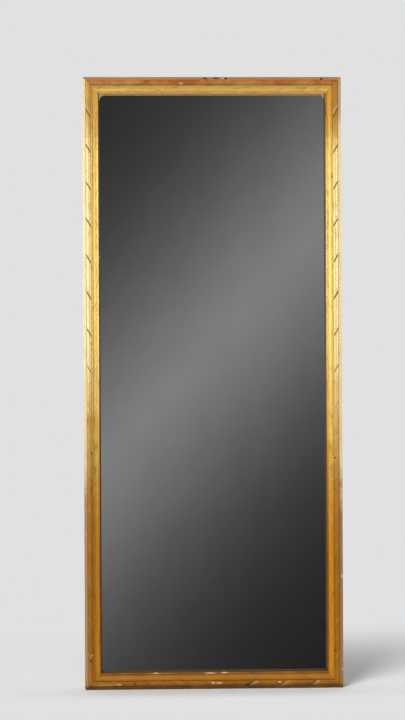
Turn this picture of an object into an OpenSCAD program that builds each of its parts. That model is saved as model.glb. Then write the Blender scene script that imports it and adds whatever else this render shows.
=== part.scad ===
// Pier mirror: a tall, narrow mirror plate in a mitred frame of ribbon-carved gilt moulding.
// Millimetres. X runs across the width, the plate faces -Y and Z is up.
// The origin is on the floor, in the middle of the face that the frame stands on.

/* [Frame] */
// Height over the frame
frame_h = 1700; // [1400:10:2000]
// Width over the frame
frame_w = 718; // [560:2:900]
// Width of the moulding's face, from the outer edge to the sight edge
face_w = 45; // [45:1:60]

/* [Moulding] */
// Width of the flat along the outer edge
flat_w = 8; // [6:0.5:10]
// How far the flat lies below the crown of the carved bead
flat_drop = 2.8; // [1.8:0.1:3.4]
// Width of the ribbon-carved bead
bead_w = 14.5; // [12:0.5:15.5]
// Rise of the bead's round above its edges
bead_rise = 3.6; // [3:0.1:4.2]
// Width of the sunk quirk between the bead and the cove
quirk_w = 2; // [1.5:0.5:3]
// Width of the narrow land between the quirk and the cove
land_w = 0.8; // [0.5:0.1:1.5]
// How far the floor of the quirk lies below the crown
quirk_drop = 4.8; // [4.4:0.1:6]
// How far the outer edge of the cove lies below the crown
cove_drop = 3.2; // [2.4:0.1:4.2]
// How far the cove hollows below a straight line between its edges
cove_hollow = 2.65; // [1.5:0.05:3.5]
// Radius of the small bead along the sight edge
sight_bead_r = 3.25; // [2.5:0.25:4]
// How far the top of the sight bead lies below the crown
sight_drop = 9.5; // [8.5:0.5:12]
// Radius that wear has given the frame's two lower corners
worn_r = 6; // [2:0.5:8]

/* [Ribbon] */
// Distance of the lowest ribbon from the foot of a stile
stile_first = 75.5; // [60:0.5:110]
// Distance of the highest ribbon from the top of a stile
stile_last = 97.5; // [60:0.5:120]
// Nearest whole spacing of the ribbons along a stile
stile_pitch = 102; // [60:1:140]
// Distance of the first and last ribbon from the ends of a rail
rail_first = 77; // [60:0.5:110]
// Nearest whole spacing of the ribbons along a rail
rail_pitch = 91; // [60:1:140]
// Angle between a ribbon's edges and the run of the bead
ribbon_angle = 31; // [25:1:60]
// Width of a ribbon between its two cuts
ribbon_w = 3.2; // [2:0.2:6]
// Width of a cut
cut_w = 1.2; // [0.8:0.1:2]
// Depth of a cut below the round of the bead
cut_d = 1.1; // [0.6:0.1:2]

/* [Plate] */
// Thickness of the glass
glass_t = 5; // [4:0.5:8]
// How far the glass runs behind the sight edge
glass_lap = 8; // [6:0.5:10]
// Room between the edges of the glass and the rebate
glass_gap = 2; // [1:0.5:4]
// Thickness of the silvering with its backing paint
silvering_t = 0.4; // [0.3:0.1:0.8]
// Depth of the sight edge, from the top of its bead to the glass
sight_d = 13; // [9:0.5:15]
// Radius of the corner piece at the top left of the sight opening
corner_left_r = 14; // [8:1:20]
// Radius of the corner piece at the top right of the sight opening
corner_right_r = 11; // [8:1:20]
// Thickness of the corner pieces
corner_t = 6; // [4:0.5:6]
// Thickness left at the tips of the corner pieces
corner_tip = 0.8; // [0.6:0.1:1.5]

/* [Blocks] */
// Thickness of the glazing blocks behind the glass
block_t = 5; // [4:0.5:10]
// Width of the glazing blocks
block_w = 9; // [7:0.5:9]
// Length of the glazing blocks, slips and setting blocks
block_l = 60; // [40:5:90]
// Air between the glazing blocks and the framed back
block_air = 1.1; // [0.5:0.1:4]
// Glazing blocks along each stile
stile_blocks = 5; // [3:1:8]
// Glazing blocks along each rail
rail_blocks = 2; // [2:1:4]
// Slips along each stile
stile_slips = 3; // [2:1:5]

/* [Back] */
// Thickness of the framed back
back_t = 15; // [14:0.5:20]
// How far the framed back lies inside the frame's back plane
back_inset = 1; // [0.5:0.5:3]
// Width of the rebate's shelf that the framed back is screwed to
back_lap = 12; // [11:0.5:14]
// Room round the framed back in its rebate
back_gap = 1; // [0.5:0.5:2]
// Width of the stiles and rails of the framed back
back_member_w = 60; // [50:1:80]
// Thickness of the tenons and of the panels' edges
tongue_t = 5; // [4:0.5:6]
// Depth of the panel grooves
groove_d = 8; // [6:0.5:12]
// Length of the tenons
tenon_l = 35; // [28:1:45]
// Width of the tenons
tenon_w = 40; // [30:1:44]
// Room for a panel to move in each of its grooves
panel_play = 1; // [0.5:0.5:3]
// How far the field of a panel stands above its edges
panel_raise = 3.5; // [2:0.5:4]
// Width of the bevel round the field of a panel
panel_bevel = 30; // [20:1:50]
// Radius of the tenon pegs
peg_r = 3; // [2:0.5:4]
// Distance of the pegs from the shoulder of the joint
peg_in = 12; // [8:1:16]
// Distance between the two pegs of a joint
peg_pitch = 22; // [16:1:30]

/* [Corners] */
// Thickness of the mitre keys
key_t = 3; // [2:0.5:5]
// Length of a mitre key along each outer face
key_leg = 34; // [24:1:40]
// Distance of the mitre keys from the back plane
key_in = 8; // [5:0.5:9]

/* [Screws] */
// Shank radius of the back's screws
back_screw_r = 1.8; // [1.5:0.1:2.2]
// Length of the back's screws
back_screw_l = 24; // [20:1:27]
// Head radius of the back's screws
back_head_r = 3.6; // [3:0.1:4.2]
// Distance of the back's screws from the edge of the framed back
back_screw_in = 6; // [5:0.5:6.5]
// Screws along each stile
stile_screws = 4; // [3:1:8]
// Screws along each rail
rail_screws = 2; // [2:1:4]
// Shank radius of the hangers' screws
hanger_screw_r = 1.75; // [1.5:0.05:2]
// Length of the hangers' screws below the strap
hanger_screw_l = 14; // [10:1:16]
// Head radius of the hangers' screws
hanger_head_r = 3.4; // [3:0.1:4]
// Head height of the hangers' screws
hanger_head_h = 2.2; // [1.6:0.1:2.6]

/* [Hangers] */
// Distance of the rings' axis from the top of the frame
hanger_drop = 250; // [150:10:400]
// Radius of the ring's wire
wire_r = 2; // [1.5:0.1:2.3]
// Half the width of a ring, to the middle of its wire
ring_half_w = 9; // [8:0.5:9.5]
// Bend radius of a ring's corners, to the middle of the wire
ring_bend_r = 3.5; // [3:0.25:4]
// Straight length of a ring's sides
ring_leg = 3; // [1:0.5:8]
// Lean of a resting ring away from the strap, in degrees
ring_lean = 10; // [8:1:20]
// Thickness of the strap's sheet iron
strap_t = 1.5; // [1:0.1:2]
// Width of the strap
strap_w = 16; // [12:1:20]
// Distance of the first screw from the ring's axis
first_screw = 23; // [22:1:30]
// Distance between the two screws of a strap
screw_pitch = 12; // [10:1:20]
// Radial clearance of the ring's bar in the strap's eye
eye_fit = 0.08; // [0.03:0.01:0.1]

/* [Hidden] */
// Clearance of a fitted wooden piece in its seat
wood_fit = 0.1;
// Clearance of a screw or peg in its hole
hole_fit = 0.05;
// Overrun of a cutting form past the face that it opens
over = 1;
$fn = 64;

// The moulding's section: u runs from the outer edge to the sight edge, v from the back plane forward.
sill_v = back_inset + back_t;                          // shelf that the framed back lies on
block_v = sill_v + block_air;                          // back of the glazing blocks
silver_v = block_v + block_t;                          // back of the silvering
plate_v = silver_v + silvering_t;                      // back of the glass
sight_v = plate_v + glass_t;                           // front of the glass
frame_d = sight_v + sight_d + sight_drop;              // depth over the crown
back_y = frame_d / 2;                                  // Y of the frame's back plane
glass_rebate_w = glass_lap + glass_gap;
foot_w = face_w - glass_rebate_w - back_lap;           // width of the moulding's back
bead_round_r = (bead_w * bead_w / 4 + bead_rise * bead_rise) / (2 * bead_rise);
bead_u = flat_w + bead_w / 2;
bead_v = frame_d - bead_round_r;                       // middle of the bead's round
bead_edge_v = frame_d - bead_rise;
quirk_v = frame_d - quirk_drop;
land_u = flat_w + bead_w + quirk_w;
sight_bead_u = face_w - sight_bead_r;
sight_bead_v = frame_d - sight_drop - sight_bead_r;
cove_toe = 0.75;                                       // the cove dies into the sight bead this far above its middle
cove_from = [land_u + land_w, frame_d - cove_drop];
cove_to = [face_w - 2 * sight_bead_r, sight_bead_v + cove_toe];
cove_chord = norm(cove_to - cove_from);
cove_r = (cove_chord * cove_chord / 4 + cove_hollow * cove_hollow) / (2 * cove_hollow);
cove_run = (cove_to - cove_from) / cove_chord;
cove_centre = (cove_from + cove_to) / 2 + [-cove_run.y, cove_run.x] * (cove_r - cove_hollow);

stile_ribbons = round((frame_h - stile_first - stile_last) / stile_pitch) + 1;
rail_ribbons = round((frame_w - 2 * rail_first) / rail_pitch) + 1;

sight_w = frame_w - 2 * face_w;
sight_h = frame_h - 2 * face_w;
glass_w = sight_w + 2 * glass_lap;
glass_h = sight_h + 2 * glass_lap;
glass_y = back_y - sight_v;                            // Y of the front of the glass

back_edge = foot_w + back_gap;
back_w = frame_w - 2 * back_edge;
back_h = frame_h - 2 * back_edge;
rail_span = back_w - 2 * back_member_w;
panel_count = 3;
panel_span = (back_h - (panel_count + 1) * back_member_w) / panel_count;
tongue_v = back_inset + (back_t - tongue_t) / 2;
screw_edge = back_edge + back_screw_in;                // from the frame's outer faces
screw_rim = 0.4;                                       // straight rim of a countersunk head
screw_head_h = back_head_r - back_screw_r + screw_rim;
screw_tip = 5;
slot_w = 0.9;
slot_d = 0.9;

eye_r = wire_r + eye_fit;
knuckle_r = eye_r + strap_t;
knuckle_fit = 0.5;                                     // end play of the knuckle between the ring's corners
knuckle_w = 2 * (ring_half_w - ring_bend_r - knuckle_fit);
seam_w = 0.7;                                          // open seam where the rolled knuckle meets the strap
hanger_x = frame_w / 2 - foot_w / 2;
hanger_z = frame_h - hanger_drop;
strap_end = first_screw + screw_pitch;
strap_shoulder = 9;                                    // where the strap has its full width, below the axis

// Places a member's own axes (u, v, length) on one side of the frame.
module on_left() { translate([-frame_w / 2, back_y, 0]) mirror([0, 1, 0]) children(); }
module on_right() { mirror([1, 0, 0]) on_left() children(); }
module on_bottom() { translate([-frame_w / 2, back_y, 0]) rotate([180, 0, 0]) rotate([0, 90, 0]) children(); }
module on_top() { translate([-frame_w / 2, back_y, frame_h]) mirror([0, 1, 0]) rotate([0, 90, 0]) children(); }

// Extrudes an outline drawn in (u, length) from v = from to v = to.
module through(from, to) {
    translate([0, to, 0]) rotate([90, 0, 0]) linear_extrude(to - from) children();
}

module moulding_section() {
    difference() {
        polygon([
            [0, 0], [foot_w, 0], [foot_w, sill_v], [face_w - glass_rebate_w, sill_v],
            [face_w - glass_rebate_w, sight_v], [face_w, sight_v], [face_w, sight_bead_v],
            [sight_bead_u, sight_bead_v], [sight_bead_u, cove_from.y], [land_u, cove_from.y], [land_u, quirk_v],
            [flat_w + bead_w, quirk_v], [flat_w + bead_w, bead_edge_v], [flat_w, bead_edge_v],
            [flat_w, frame_d - flat_drop], [0, frame_d - flat_drop]
        ]);
        translate(cove_centre) circle(cove_r);
    }
    intersection() {
        translate([bead_u, bead_v]) circle(bead_round_r);
        translate([flat_w, bead_edge_v - over]) square([bead_w, bead_rise + 2 * over]);
    }
    translate([sight_bead_u, sight_bead_v]) circle(sight_bead_r);
}

// Skin of the carved bead that a ribbon cut may reach, the same depth all over.
module bead_skin() {
    difference() {
        translate([flat_w, bead_v]) square([bead_w, bead_round_r + over]);
        translate([bead_u, bead_v - cut_d]) circle(bead_round_r);
    }
}

// Ribbon cuts in pairs, evenly spaced from the first to the last, those from turned on leaning the other way.
module ribbons(first, last, count, turned) {
    intersection() {
        linear_extrude(last + first) bead_skin();
        union() {
            for (i = [0:count - 1]) {
                lean = (i >= turned ? -1 : 1) * (90 - ribbon_angle);
                translate([bead_u, frame_d, first + i * (last - first) / (count - 1)]) rotate([0, lean, 0])
                    for (side = [-1, 1]) translate([0, 0, side * ribbon_w / 2])
                        cube([4 * bead_w, 4 * bead_rise, cut_w], center = true);
            }
        }
    }
}

// One saw kerf across the corner at the start of a member.
module key_outline(reach) {
    polygon([[-reach, -reach], [key_leg + reach, -reach], [-reach, key_leg + reach]]);
}

// What wear has taken off the frame's corner at the start of a member.
module worn_outline() {
    difference() {
        translate([-over, -over]) square(worn_r + over);
        translate([worn_r, worn_r]) circle(worn_r);
    }
}

module at_end(end, length) {
    if (end == 0) children();
    else translate([0, 0, length]) mirror([0, 0, 1]) children();
}

// One member: its length, its first and last ribbon and their count, the first ribbon that leans the other way,
// and which of its ends, 0 or 1, lie at a worn corner.
module moulding(length, first, last, count, turned, worn) {
    difference() {
        intersection() {
            linear_extrude(length) moulding_section();
            through(-over, frame_d + over) polygon([
                [-over, -over], [face_w + over, face_w + over],
                [face_w + over, length - face_w - over], [-over, length + over]
            ]);
        }
        ribbons(first, last, count, turned);
        for (end = [0, 1]) at_end(end, length)
            through(key_in - wood_fit, key_in + key_t + wood_fit) key_outline(over);
        for (end = worn) at_end(end, length) through(-over, frame_d + over) worn_outline();
    }
}

module stile_moulding() { moulding(frame_h, stile_first, frame_h - stile_last, stile_ribbons, stile_ribbons, [0]); }
module rail_moulding(worn) {
    moulding(frame_w, rail_first, frame_w - rail_first, rail_ribbons, ceil((rail_ribbons + 1) / 2), worn);
}

// Countersunk screw, its head at z = 0 and its point along +Z, grown by a clearance.
module back_screw_form(grow, head_over) {
    rotate_extrude() polygon([
        [0, -head_over], [back_head_r + grow, -head_over], [back_head_r + grow, screw_rim],
        [back_screw_r + grow, screw_head_h], [back_screw_r + grow, back_screw_l - screw_tip + grow],
        [0, back_screw_l + grow]
    ]);
}

function spread(i, count, from, to) = from + (to - from) * (i + 0.5) / count;
stile_screw_z = [for (i = [0:stile_screws - 1]) spread(i, stile_screws, screw_edge, frame_h - screw_edge)];
rail_screw_x = [
    for (i = [0:rail_screws - 1]) spread(i, rail_screws, screw_edge - frame_w / 2, frame_w / 2 - screw_edge)
];

module back_screw_seat() { translate([0, back_y - back_inset, 0]) rotate([90, 0, 0]) children(); }
module at_stile_screws(side) {
    for (z = stile_screw_z) translate([side * (frame_w / 2 - screw_edge), 0, z]) back_screw_seat() children();
}
module at_rail_screws(z) {
    for (x = rail_screw_x) translate([x, 0, z]) back_screw_seat() children();
}
module back_screw_hole() { back_screw_form(hole_fit, over); }

// Round-head screw, its head's flat at z = 0 and its point along +Z.
module hanger_screw() {
    head_ball_r = (hanger_head_r * hanger_head_r + hanger_head_h * hanger_head_h) / (2 * hanger_head_h);
    difference() {
        rotate_extrude() {
            intersection() {
                translate([0, head_ball_r - hanger_head_h]) circle(head_ball_r);
                translate([0, -hanger_head_h]) square([hanger_head_r, hanger_head_h]);
            }
            polygon([
                [0, -over], [hanger_screw_r, -over], [hanger_screw_r, strap_t + hanger_screw_l - screw_tip],
                [0, strap_t + hanger_screw_l]
            ]);
        }
        translate([-hanger_head_r - over, -slot_w / 2, -hanger_head_h - over])
            cube([2 * (hanger_head_r + over), slot_w, slot_d + over]);
    }
}

// The two screw places of a strap, seen from the ring's axis on the back plane.
module at_strap_screws() {
    for (drop = [first_screw, first_screw + screw_pitch])
        translate([0, strap_t, -drop]) rotate([90, 0, 0]) children();
}

module at_hanger(side) { translate([side * hanger_x, back_y, hanger_z]) children(); }

module hanger_screw_hole() {
    cylinder(r = hanger_screw_r + hole_fit, h = strap_t + hanger_screw_l + hole_fit);
}

module outer_stile(side) {
    color("goldenrod") difference() {
        if (side < 0) on_left() stile_moulding();
        else on_right() stile_moulding();
        at_stile_screws(side) back_screw_hole();
        at_hanger(side) at_strap_screws() hanger_screw_hole();
    }
}

module left_stile() { outer_stile(-1); }
module right_stile() { outer_stile(1); }

module bottom_rail() {
    color("goldenrod") difference() {
        on_bottom() rail_moulding([0, 1]);
        at_rail_screws(screw_edge) back_screw_hole();
    }
}

module top_rail() {
    color("darkgoldenrod") difference() {
        on_top() rail_moulding([]);
        at_rail_screws(frame_h - screw_edge) back_screw_hole();
    }
}

// Thin triangular slip, glued into the kerf across a mitre. The lower ones are worn with the frame.
module mitre_key(end) {
    color("burlywood") at_end(end, frame_h) through(key_in, key_in + key_t) difference() {
        key_outline(0);
        if (end == 0) worn_outline();
    }
}
module mitre_key_bottom_left() { on_left() mitre_key(0); }
module mitre_key_bottom_right() { on_right() mitre_key(0); }
module mitre_key_top_left() { on_left() mitre_key(1); }
module mitre_key_top_right() { on_right() mitre_key(1); }

// Hollow-faced piece in a top corner of the sight opening, lying on the glass.
module corner_piece(r) {
    color("tan") through(sight_v, sight_v + corner_t) translate([face_w, frame_h - face_w]) difference() {
        translate([0, -r - corner_tip]) square(r + corner_tip);
        translate([r + corner_tip, -r - corner_tip]) circle(r);
    }
}
module corner_piece_left() { on_left() corner_piece(corner_left_r); }
module corner_piece_right() { on_right() corner_piece(corner_right_r); }

module mirror_glass() {
    color("lightslategray") translate([-glass_w / 2, glass_y, face_w - glass_lap])
        cube([glass_w, glass_t, glass_h]);
}

module mirror_silvering() {
    color("dimgray") translate([-glass_w / 2, glass_y + glass_t, face_w - glass_lap])
        cube([glass_w, silvering_t, glass_h]);
}

// Slip of wood between an edge of the glass and the rebate, in the axes of a member.
module edge_slip(at) {
    translate([face_w - glass_rebate_w, plate_v, at - block_l / 2]) cube([glass_gap, glass_t, block_l]);
}

module setting_blocks() {
    color("peru") on_bottom() for (i = [0:1]) edge_slip(spread(i, 2, 0, frame_w));
}

module edge_slips() {
    color("burlywood") {
        on_top() for (i = [0:1]) edge_slip(spread(i, 2, 0, frame_w));
        for (i = [0:stile_slips - 1]) {
            on_left() edge_slip(spread(i, stile_slips, 0, frame_h));
            on_right() edge_slip(spread(i, stile_slips, 0, frame_h));
        }
    }
}

// Block glued in the rebate behind the glass, its inner back edge bevelled away.
module glazing_block(at) {
    bevel = block_t / 2;
    translate([face_w - glass_rebate_w, block_v, at - block_l / 2]) linear_extrude(block_l) polygon([
        [0, 0], [block_w - bevel, 0], [block_w, bevel], [block_w, block_t], [0, block_t]
    ]);
}

module glazing_blocks() {
    color("burlywood") {
        for (i = [0:stile_blocks - 1]) {
            on_left() glazing_block(spread(i, stile_blocks, 0, frame_h));
            on_right() glazing_block(spread(i, stile_blocks, 0, frame_h));
        }
        for (i = [0:rail_blocks - 1]) {
            on_bottom() glazing_block(spread(i, rail_blocks, 0, frame_w));
            on_top() glazing_block(spread(i, rail_blocks, 0, frame_w));
        }
    }
}

// Box given by its ranges along X, v and Z.
module board(x, v, z) {
    translate([x[0], back_y - v[1], z[0]]) cube([x[1] - x[0], v[1] - v[0], z[1] - z[0]]);
}

function back_rail_z(i) = back_edge + i * (panel_span + back_member_w);
function tenon_z(i, fit) = [
    back_rail_z(i) + (back_member_w - tenon_w) / 2 - fit, back_rail_z(i) + (back_member_w + tenon_w) / 2 + fit
];
tongue_range = [tongue_v, tongue_v + tongue_t];
groove_range = [tongue_v - wood_fit, tongue_v + tongue_t + wood_fit];

module at_pegs(i, side) {
    for (step = [-1, 1])
        translate([
            side * (rail_span / 2 + peg_in), back_y - back_inset,
            back_rail_z(i) + back_member_w / 2 + step * peg_pitch / 2
        ]) rotate([90, 0, 0]) children();
}

module peg_hole() { translate([0, 0, -over]) cylinder(r = peg_r + hole_fit, h = back_t + 2 * over); }

module back_stile(side) {
    inner = rail_span / 2;
    color("peru") difference() {
        mirror([side < 0 ? 1 : 0, 0, 0]) difference() {
            board([inner, back_w / 2], [back_inset, sill_v], [back_edge, frame_h - back_edge]);
            board([inner - over, inner + groove_d], groove_range, [back_edge - over, frame_h - back_edge + over]);
            for (i = [0:panel_count])
                board([inner, inner + tenon_l + wood_fit], groove_range, tenon_z(i, wood_fit));
        }
        for (i = [0:panel_count]) at_pegs(i, side) peg_hole();
        at_stile_screws(side) back_screw_hole();
    }
}

module back_stile_left() { back_stile(-1); }
module back_stile_right() { back_stile(1); }

module back_rail(i) {
    low = back_rail_z(i);
    high = low + back_member_w;
    half = rail_span / 2;
    color("peru") difference() {
        union() {
            board([-half, half], [back_inset, sill_v], [low, high]);
            board([-half - tenon_l, half + tenon_l], tongue_range, tenon_z(i, 0));
        }
        if (i > 0) board([-half - over, half + over], groove_range, [low - over, low + groove_d]);
        if (i < panel_count) board([-half - over, half + over], groove_range, [high - groove_d, high + over]);
        for (side = [-1, 1]) at_pegs(i, side) peg_hole();
        if (i == 0) at_rail_screws(screw_edge) back_screw_hole();
        if (i == panel_count) at_rail_screws(frame_h - screw_edge) back_screw_hole();
    }
}

module back_rail_bottom() { back_rail(0); }
module back_rail_lower() { back_rail(1); }
module back_rail_upper() { back_rail(2); }
module back_rail_top() { back_rail(3); }

// Section of a fielded panel across a span, from its flat front to the bevelled field on its back.
module panel_section(span) {
    half = span / 2 + groove_d - panel_play;
    inner = span / 2 - panel_bevel;
    polygon([
        [-half, tongue_v + tongue_t], [-half, tongue_v], [-span / 2, tongue_v], [-inner, tongue_v - panel_raise],
        [inner, tongue_v - panel_raise], [span / 2, tongue_v], [half, tongue_v], [half, tongue_v + tongue_t]
    ]);
}

module back_panel(i) {
    middle = back_rail_z(i) + back_member_w + panel_span / 2;
    reach = panel_span / 2 + groove_d;
    side_reach = rail_span / 2 + groove_d;
    color("sandybrown") translate([0, back_y, middle]) mirror([0, 1, 0]) intersection() {
        translate([0, 0, -reach]) linear_extrude(2 * reach) panel_section(rail_span);
        rotate([0, 90, 0]) translate([0, 0, -side_reach]) linear_extrude(2 * side_reach) panel_section(panel_span);
    }
}

module back_panel_bottom() { back_panel(0); }
module back_panel_middle() { back_panel(1); }
module back_panel_top() { back_panel(2); }

module tenon_pegs() {
    color("saddlebrown") for (i = [0:panel_count], side = [-1, 1])
        at_pegs(i, side) cylinder(r = peg_r, h = back_t);
}

module back_screw() {
    difference() {
        back_screw_form(0, 0);
        translate([-back_head_r - over, -slot_w / 2, -over]) cube([2 * (back_head_r + over), slot_w, slot_d + over]);
    }
}

module back_screws() {
    color("dimgray") {
        for (side = [-1, 1]) at_stile_screws(side) back_screw();
        at_rail_screws(screw_edge) back_screw();
        at_rail_screws(frame_h - screw_edge) back_screw();
    }
}

// Strap of sheet iron with its top end rolled into an eye for the ring's bar.
module hanger_strap(side) {
    color("slategray") at_hanger(side) difference() {
        union() {
            translate([0, strap_t, 0]) rotate([90, 0, 0]) linear_extrude(strap_t) {
                polygon([
                    [-knuckle_w / 2, 0], [-knuckle_w / 2, -knuckle_r - over], [-strap_w / 2, -strap_shoulder - over],
                    [-strap_w / 2, -strap_end], [strap_w / 2, -strap_end], [strap_w / 2, -strap_shoulder - over],
                    [knuckle_w / 2, -knuckle_r - over], [knuckle_w / 2, 0]
                ]);
                translate([0, -strap_end]) circle(strap_w / 2);
            }
            translate([0, knuckle_r, 0]) rotate([0, 90, 0]) cylinder(r = knuckle_r, h = knuckle_w, center = true);
        }
        translate([0, knuckle_r, 0]) rotate([0, 90, 0]) cylinder(r = eye_r, h = knuckle_w + 2 * over, center = true);
        translate([-knuckle_w / 2 - over, strap_t, -knuckle_r - over])
            cube([knuckle_w + 2 * over, seam_w, knuckle_r + over]);
        at_strap_screws() translate([0, 0, -over]) cylinder(r = hanger_screw_r + hole_fit, h = strap_t + 2 * over);
    }
}

module hanger_strap_left() { hanger_strap(-1); }
module hanger_strap_right() { hanger_strap(1); }

// Part turn of the ring's wire round the Y axis, starting from +X towards +Z.
module wire_bend(r, from, turn) {
    rotate([90, 0, 0]) rotate([0, 0, from]) rotate_extrude(angle = turn) translate([r, 0]) circle(wire_r);
}

// D-shaped ring, its straight bar on the X axis and its bow hanging down.
module d_ring() {
    bar_half = ring_half_w - ring_bend_r;
    rotate([0, 90, 0]) cylinder(r = wire_r, h = 2 * bar_half, center = true);
    translate([bar_half, 0, -ring_bend_r]) wire_bend(ring_bend_r, 0, 90);
    translate([-bar_half, 0, -ring_bend_r]) wire_bend(ring_bend_r, 90, 90);
    for (side = [-1, 1]) translate([side * ring_half_w, 0, -ring_bend_r - ring_leg])
        cylinder(r = wire_r, h = ring_leg);
    translate([0, 0, -ring_bend_r - ring_leg]) wire_bend(ring_half_w, 180, 180);
}

module hanger_ring(side) {
    color("slategray") at_hanger(side) translate([0, knuckle_r, 0]) rotate([ring_lean, 0, 0]) d_ring();
}

module hanger_ring_left() { hanger_ring(-1); }
module hanger_ring_right() { hanger_ring(1); }

module hanger_screws() {
    color("dimgray") for (side = [-1, 1]) at_hanger(side) at_strap_screws() hanger_screw();
}

top_rail();
bottom_rail();
left_stile();
right_stile();
mitre_key_top_left();
mitre_key_top_right();
mitre_key_bottom_left();
mitre_key_bottom_right();
corner_piece_left();
corner_piece_right();
mirror_glass();
mirror_silvering();
setting_blocks();
edge_slips();
glazing_blocks();
back_stile_left();
back_stile_right();
back_rail_bottom();
back_rail_lower();
back_rail_upper();
back_rail_top();
back_panel_bottom();
back_panel_middle();
back_panel_top();
tenon_pegs();
back_screws();
hanger_strap_left();
hanger_strap_right();
hanger_ring_left();
hanger_ring_right();
hanger_screws();
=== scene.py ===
"""Pier mirror: the finish of every piece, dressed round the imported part.

Laid out as an add-on and run as a script. Lengths are in metres. X runs across the width, the plate
faces -Y and Z is up.
"""

import math

import bpy
import numpy as np
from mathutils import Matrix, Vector


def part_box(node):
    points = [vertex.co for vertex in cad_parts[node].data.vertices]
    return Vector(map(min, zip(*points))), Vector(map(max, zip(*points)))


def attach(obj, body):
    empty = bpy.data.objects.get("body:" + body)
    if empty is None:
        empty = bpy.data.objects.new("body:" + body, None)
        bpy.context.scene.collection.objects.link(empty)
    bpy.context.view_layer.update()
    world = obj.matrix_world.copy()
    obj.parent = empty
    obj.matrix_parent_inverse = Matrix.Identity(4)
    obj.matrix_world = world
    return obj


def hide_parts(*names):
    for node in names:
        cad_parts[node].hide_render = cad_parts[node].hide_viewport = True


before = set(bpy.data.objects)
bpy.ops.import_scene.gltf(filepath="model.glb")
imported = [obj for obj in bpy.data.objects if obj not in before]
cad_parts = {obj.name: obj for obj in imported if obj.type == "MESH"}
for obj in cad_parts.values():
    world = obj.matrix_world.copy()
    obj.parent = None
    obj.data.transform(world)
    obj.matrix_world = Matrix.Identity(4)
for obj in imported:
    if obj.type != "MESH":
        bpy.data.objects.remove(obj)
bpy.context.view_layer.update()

bl_info = {
    "name": "Pier mirror",
    "version": (1, 0, 0),
    "blender": (4, 5, 0),
    "location": "3D View > Sidebar > Pier mirror",
    "description": "Dresses a pier mirror with its carved gilt moulding, plate, back and hangers",
    "category": "Object",
}

MM = 0.001

# Places that every piece is fitted to
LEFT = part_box("left_stile")[0].x
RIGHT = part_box("right_stile")[1].x
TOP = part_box("left_stile")[1].z
CROWN_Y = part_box("left_stile")[0].y
BACK_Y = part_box("left_stile")[1].y
FACE_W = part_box("left_stile")[1].x - LEFT
PLATE_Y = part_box("mirror_glass")[0].y
SHELF_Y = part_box("back_stile_left")[0].y
FOOT_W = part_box("back_stile_left")[0].x - LEFT - 1 * MM


def srgb(red, green, blue):
    """A colour written as 0-255 screen values, as the linear values that Blender works in."""
    return tuple(
        c / 255 / 12.92 if c <= 10 else ((c / 255 + 0.055) / 1.055) ** 2.4
        for c in (red, green, blue)
    )


def grey(value):
    """A grey, as a linear colour."""
    return (value, value, value)


def length_property(name, description, millimetres):
    return bpy.props.FloatProperty(
        name=name, description=description, default=millimetres * MM, unit="LENGTH", precision=5
    )


def angle_property(name, description, degrees):
    return bpy.props.FloatProperty(
        name=name, description=description, default=math.radians(degrees), subtype="ANGLE"
    )


def colour_property(name, description, colour):
    return bpy.props.FloatVectorProperty(
        name=name, description=description, default=colour, subtype="COLOR", size=3,
        min=0.0, max=1.0,
    )


class MouldingSettings(bpy.types.PropertyGroup):
    """Sizes of the moulding's section and of its carving"""

    flat_w: length_property("Flat", "Width of the flat along the outer edge", 8)
    flat_drop: length_property("Flat drop", "How far the flat lies below the bead's crown", 2.8)
    bead_w: length_property("Bead", "Width of the ribbon-carved bead", 14.5)
    bead_rise: length_property("Bead rise", "Rise of the bead's round above its edges", 3.6)
    quirk_w: length_property("Quirk", "Width of the sunk quirk inside the bead", 2)
    quirk_drop: length_property("Quirk drop", "How far the quirk's floor lies below the crown", 4.8)
    land_w: length_property("Land", "Width of the narrow land between the quirk and the cove", 0.8)
    cove_drop: length_property("Cove drop", "How far the cove's outer edge is below the crown", 3.2)
    cove_hollow: length_property("Cove hollow", "How deep the cove is, from a straight line", 2.65)
    sight_bead_r: length_property("Sight bead", "Radius of the small bead at the sight edge", 3.25)
    sight_drop: length_property("Sight drop", "How far the sight bead lies below the crown", 9.5)
    glass_rebate_w: length_property("Rebate", "Width of the rebate that holds the plate", 10)
    arris_r: length_property("Arris", "Radius that gesso and handling give to an edge", 0.7)
    stile_first: length_property("Lowest ribbon", "Height of a stile's lowest ribbon", 75.5)
    stile_last: length_property("Highest ribbon", "Depth of the highest ribbon below the top", 97.5)
    ribbon_w: length_property("Ribbon", "Width of a ribbon between its two cuts", 3.2)
    cut_w: length_property("Cut width", "Width of a carved cut", 1.4)
    cut_d: length_property("Cut depth", "Depth of a carved cut", 1.1)
    ribbon_angle: angle_property("Ribbon angle", "Angle between a ribbon and the bead's run", 31)
    waver: length_property("Waver", "How far the hand-run surface strays", 0.16)
    worn_corner_r: length_property("Worn corner", "Radius of the worn lower outer corners", 6)


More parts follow.
